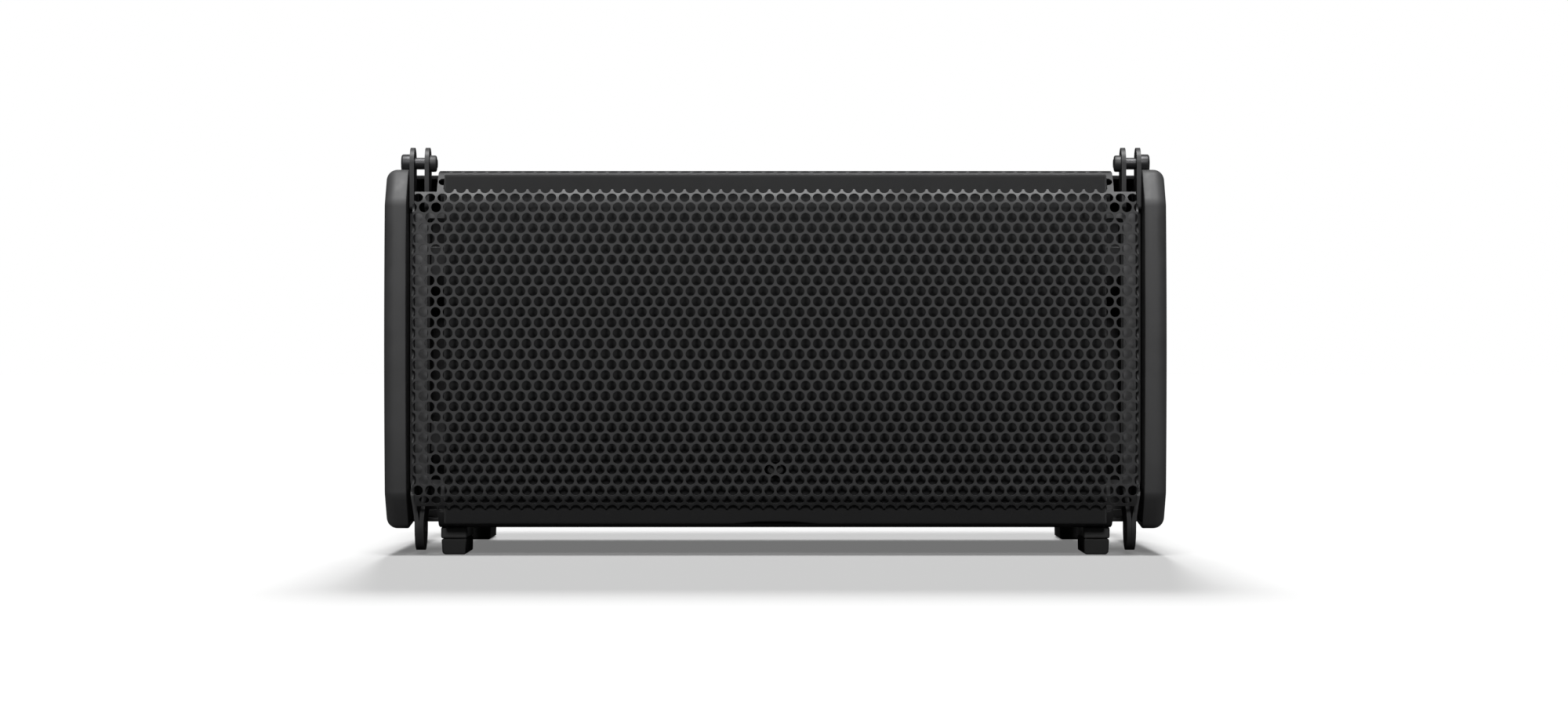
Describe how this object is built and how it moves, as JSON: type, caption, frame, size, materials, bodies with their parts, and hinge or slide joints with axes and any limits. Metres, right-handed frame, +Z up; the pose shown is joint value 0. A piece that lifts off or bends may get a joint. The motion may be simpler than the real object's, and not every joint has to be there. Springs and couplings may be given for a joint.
{
  "type": "line array speaker",
  "caption": "Compact wide line array loudspeaker with a perforated steel grille, textured cheek covers and pinned flying hardware on both sides.",
  "frame": {"origin": "on the floor, under the middle of the bounding box", "axes": "+Z up, -Y towards the front grille, +X along the width to the right"},
  "size_m": [0.6208, 0.38, 0.3253],
  "materials": {
    "painted_ply": "black textured polyurea paint over plywood",
    "grille_steel": "charcoal powder coat, fine satin",
    "cloth": "black twill acoustic cloth",
    "cheek_plastic": "fine-textured charcoal moulding",
    "cheek_liner": "black powder coat",
    "steel_hardware": "black satin powder coat",
    "pin_steel": "black oxide, slightly glossy",
    "foot_rubber": "matte black rubber",
    "foot_plastic": "moulded black",
    "woofer_frame": "black powder-coated casting",
    "magnet": "black plated steel and ferrite",
    "cone_paper": "coated black paper",
    "surround_rubber": "doped cloth half-roll",
    "spider_cloth": "resin-stiffened cloth",
    "horn_plastic": "moulded satin black",
    "socket_plastic": "moulded blue and black",
    "circuit": "green solder mask"
  },
  "bodies": {
    "cabinet": {"top_panel": "painted_ply", "bottom_panel": "painted_ply", "side_panel_right": "painted_ply", "side_panel_left": "painted_ply", "rear_panel": "painted_ply", "baffle": "painted_ply", "woofer_basket_left": "woofer_frame", "woofer_basket_right": "woofer_frame", "woofer_magnet_left": "magnet", "woofer_magnet_right": "magnet", "woofer_surround_left": "surround_rubber", "woofer_surround_right": "surround_rubber", "woofer_spider_left": "spider_cloth", "woofer_spider_right": "spider_cloth", "waveguide": "horn_plastic", "compression_driver_upper": "magnet", "compression_driver_lower": "magnet", "port_tube_right": "horn_plastic", "port_tube_left": "horn_plastic", "crossover_board": "circuit", "input_plate": "steel_hardware", "speaker_socket_right": "socket_plastic", "speaker_socket_left": "socket_plastic", "grille": "grille_steel", "grille_cloth_panel": "cloth", "grille_stud": "horn_plastic", "cheek_cover_right": "cheek_plastic", "cheek_cover_left": "cheek_plastic", "cheek_inner_panel_right": "cheek_liner", "cheek_inner_panel_left": "cheek_liner", "front_plate_outer_right": "steel_hardware", "front_plate_outer_left": "steel_hardware", "front_plate_inner_right": "steel_hardware", "front_plate_inner_left": "steel_hardware", "rigging_face_plate_right": "steel_hardware", "rigging_face_plate_left": "steel_hardware", "side_bracket_right": "steel_hardware", "side_bracket_left": "steel_hardware", "rear_bracket_right": "steel_hardware", "rear_bracket_left": "steel_hardware", "rear_pivot_bolt_right": "pin_steel", "rear_pivot_bolt_left": "pin_steel", "foot_base_front_right": "foot_plastic", "foot_base_front_left": "foot_plastic", "foot_pad_front_right": "foot_rubber", "foot_pad_front_left": "foot_rubber", "foot_base_rear_right": "foot_plastic", "foot_base_rear_left": "foot_plastic", "foot_pad_rear_right": "foot_rubber", "foot_pad_rear_left": "foot_rubber"},
    "front_pin_left": {"front_pin_left": "pin_steel"},
    "rear_pin_left": {"rear_pin_left": "pin_steel"},
    "rear_link_left": {"rear_link_left": "steel_hardware"},
    "woofer_cone_left": {"woofer_cone_left": "cone_paper", "woofer_dust_cap_left": "cone_paper"},
    "front_pin_right": {"front_pin_right": "pin_steel"},
    "rear_pin_right": {"rear_pin_right": "pin_steel"},
    "rear_link_right": {"rear_link_right": "steel_hardware"},
    "woofer_cone_right": {"woofer_cone_right": "cone_paper", "woofer_dust_cap_right": "cone_paper"}
  },
  "joints": [
    {"name": "front_pin_left_pull", "type": "slide", "parent": "cabinet", "child": "front_pin_left", "axis": [-1, 0, 0], "range_m": [0, 0.025]},
    {"name": "rear_pin_left_pull", "type": "slide", "parent": "cabinet", "child": "rear_pin_left", "axis": [-1, 0, 0], "range_m": [0, 0.025]},
    {"name": "rear_link_left_swing", "type": "hinge", "parent": "cabinet", "child": "rear_link_left", "pos_m": [-0.2842, 0.155, 0.0742], "axis": [-1, 0, 0], "range_deg": [0, 191.5]},
    {"name": "woofer_cone_left_travel", "type": "slide", "parent": "cabinet", "child": "woofer_cone_left", "axis": [0, -1, 0], "range_m": [-0.004, 0.004], "stiffness_N_per_m": 2500, "deforming": ["woofer_surround_left", "woofer_spider_left"]},
    {"name": "front_pin_right_pull", "type": "slide", "parent": "cabinet", "child": "front_pin_right", "axis": [1, 0, 0], "range_m": [0, 0.025]},
    {"name": "rear_pin_right_pull", "type": "slide", "parent": "cabinet", "child": "rear_pin_right", "axis": [1, 0, 0], "range_m": [0, 0.025]},
    {"name": "rear_link_right_swing", "type": "hinge", "parent": "cabinet", "child": "rear_link_right", "pos_m": [0.2842, 0.155, 0.0742], "axis": [-1, 0, 0], "range_deg": [0, 191.5]},
    {"name": "woofer_cone_right_travel", "type": "slide", "parent": "cabinet", "child": "woofer_cone_right", "axis": [0, -1, 0], "range_m": [-0.004, 0.004], "stiffness_N_per_m": 2500, "deforming": ["woofer_surround_right", "woofer_spider_right"]}
  ]
}
